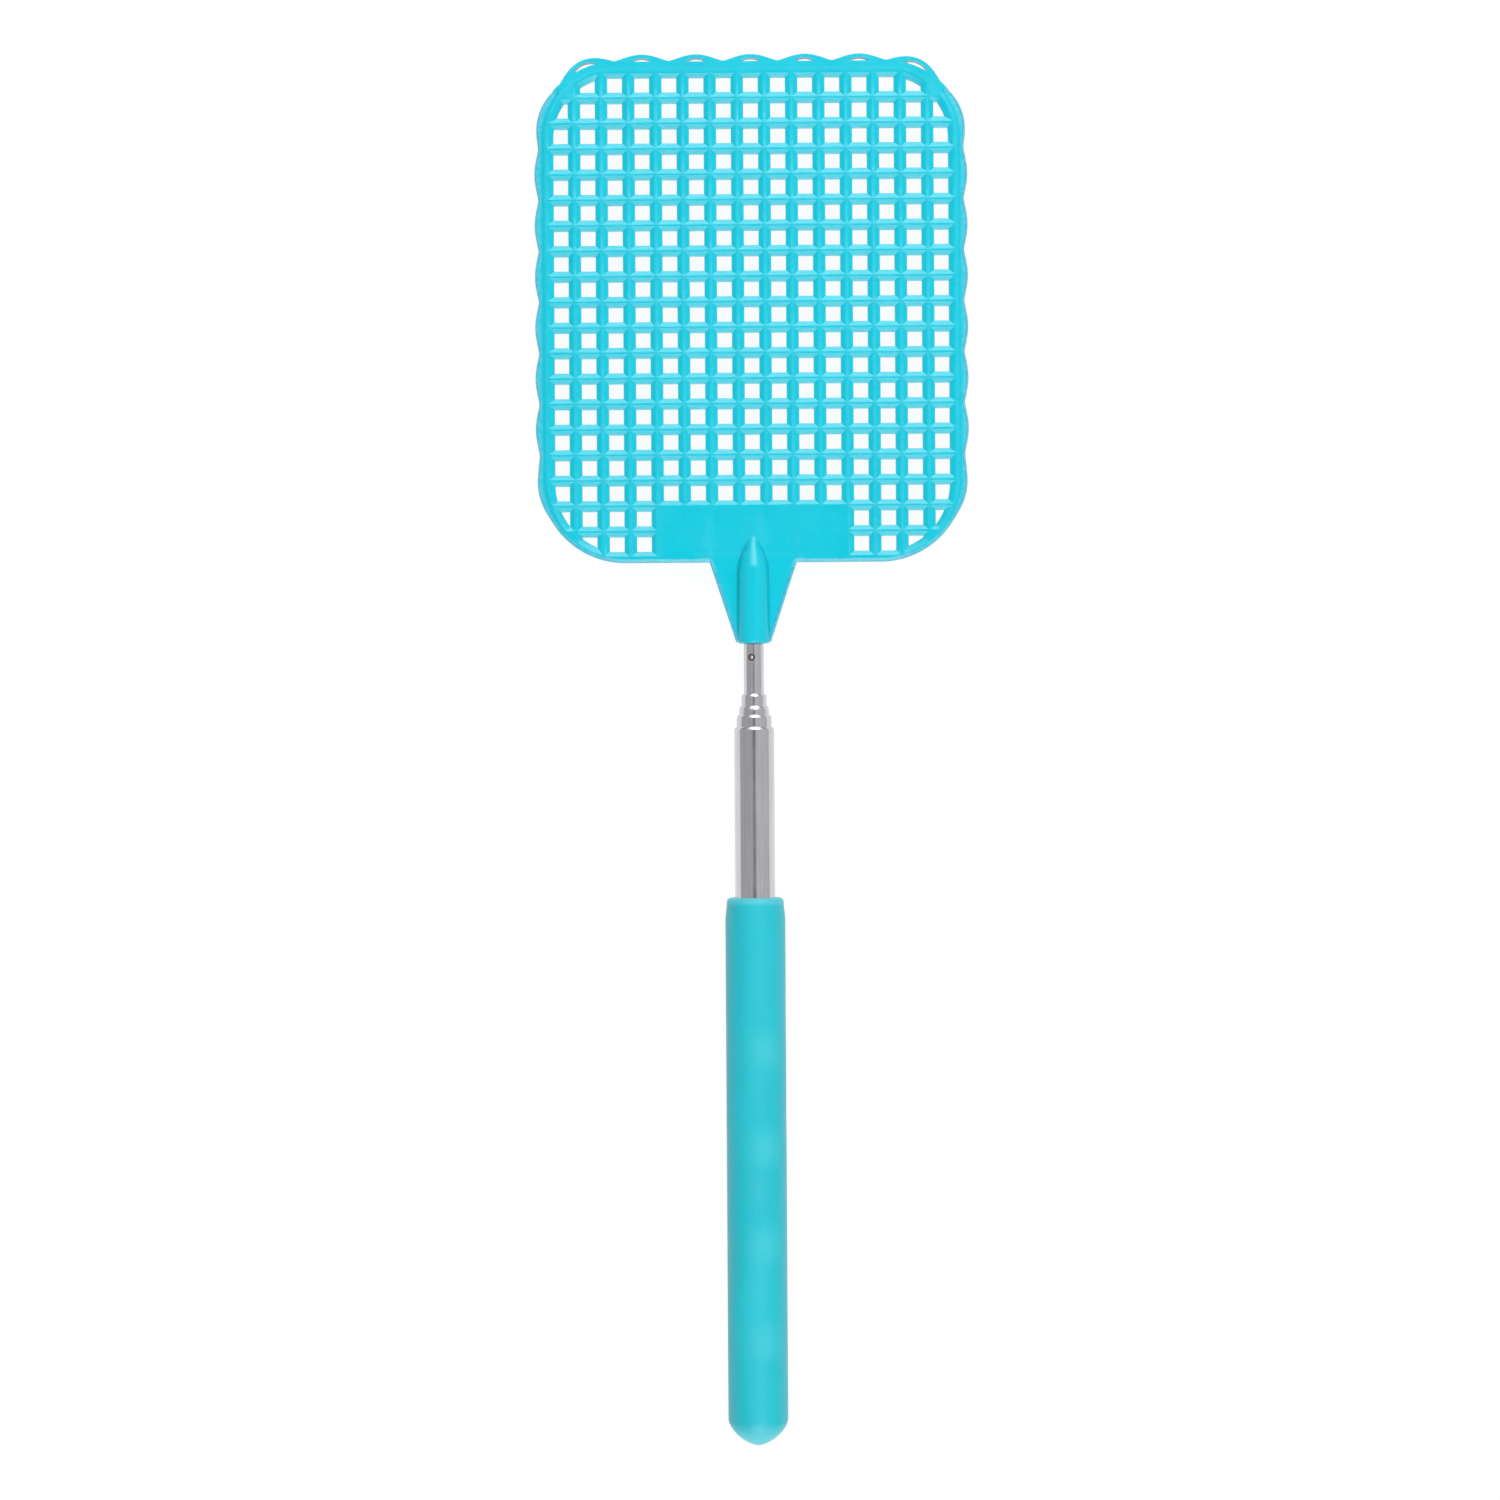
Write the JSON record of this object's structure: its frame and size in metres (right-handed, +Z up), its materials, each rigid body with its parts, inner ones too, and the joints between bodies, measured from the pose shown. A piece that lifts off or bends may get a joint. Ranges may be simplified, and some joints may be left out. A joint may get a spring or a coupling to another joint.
{
  "type": "fly swatter",
  "caption": "Telescopic fly swatter with a moulded open-grid head, a sliding stainless steel pole and a soft sleeve grip.",
  "frame": {"origin": "under the middle of the swatter, collapsed and lying on its back: the centre of its bounding box, on the ground plane", "axes": "+Y along the pole towards the head, +Z up out of the head's front face, +X to the right with the head away from the viewer"},
  "size_m": [0.0866, 0.278, 0.012],
  "materials": {
    "head": "moulded turquoise plastic, satin gloss",
    "grip": "soft-touch turquoise sleeve, matt",
    "steel": "drawn stainless steel tube, bright",
    "bronze": "spring bronze strip",
    "plug": "moulded black plastic",
    "plated": "nickel-plated turned steel"
  },
  "bodies": {
    "handle": {"grip_sleeve": "grip", "pole_section_1": "steel", "tube_end_plug": "plug"},
    "shims_2": {"friction_shim_2a": "bronze", "friction_shim_2b": "bronze"},
    "section_2": {"pole_section_2": "steel"},
    "shims_3": {"friction_shim_3a": "bronze", "friction_shim_3b": "bronze"},
    "section_3": {"pole_section_3": "steel"},
    "shims_4": {"friction_shim_4a": "bronze", "friction_shim_4b": "bronze"},
    "section_4": {"pole_section_4": "steel"},
    "shims_5": {"friction_shim_5a": "bronze", "friction_shim_5b": "bronze"},
    "head": {"pole_section_5": "steel", "tip_plug": "plated", "tip_pin": "plated", "swatter_head": "head"}
  },
  "joints": [
    {"name": "slide_2", "type": "slide", "parent": "handle", "child": "shims_2", "axis": [0, 1, 0], "range_m": [0, 0.1127]},
    {"name": "spin_2", "type": "hinge", "parent": "shims_2", "child": "section_2", "pos_m": [0, 0, 0.006], "axis": [0, 1, 0], "continuous": true},
    {"name": "slide_3", "type": "slide", "parent": "section_2", "child": "shims_3", "axis": [0, 1, 0], "range_m": [0, 0.1151]},
    {"name": "spin_3", "type": "hinge", "parent": "shims_3", "child": "section_3", "pos_m": [0, 0, 0.006], "axis": [0, 1, 0], "continuous": true},
    {"name": "slide_4", "type": "slide", "parent": "section_3", "child": "shims_4", "axis": [0, 1, 0], "range_m": [0, 0.1169]},
    {"name": "spin_4", "type": "hinge", "parent": "shims_4", "child": "section_4", "pos_m": [0, 0, 0.006], "axis": [0, 1, 0], "continuous": true},
    {"name": "slide_5", "type": "slide", "parent": "section_4", "child": "shims_5", "axis": [0, 1, 0], "range_m": [0, 0.1193]},
    {"name": "spin_5", "type": "hinge", "parent": "shims_5", "child": "head", "pos_m": [0, 0, 0.006], "axis": [0, 1, 0], "continuous": true}
  ]
}
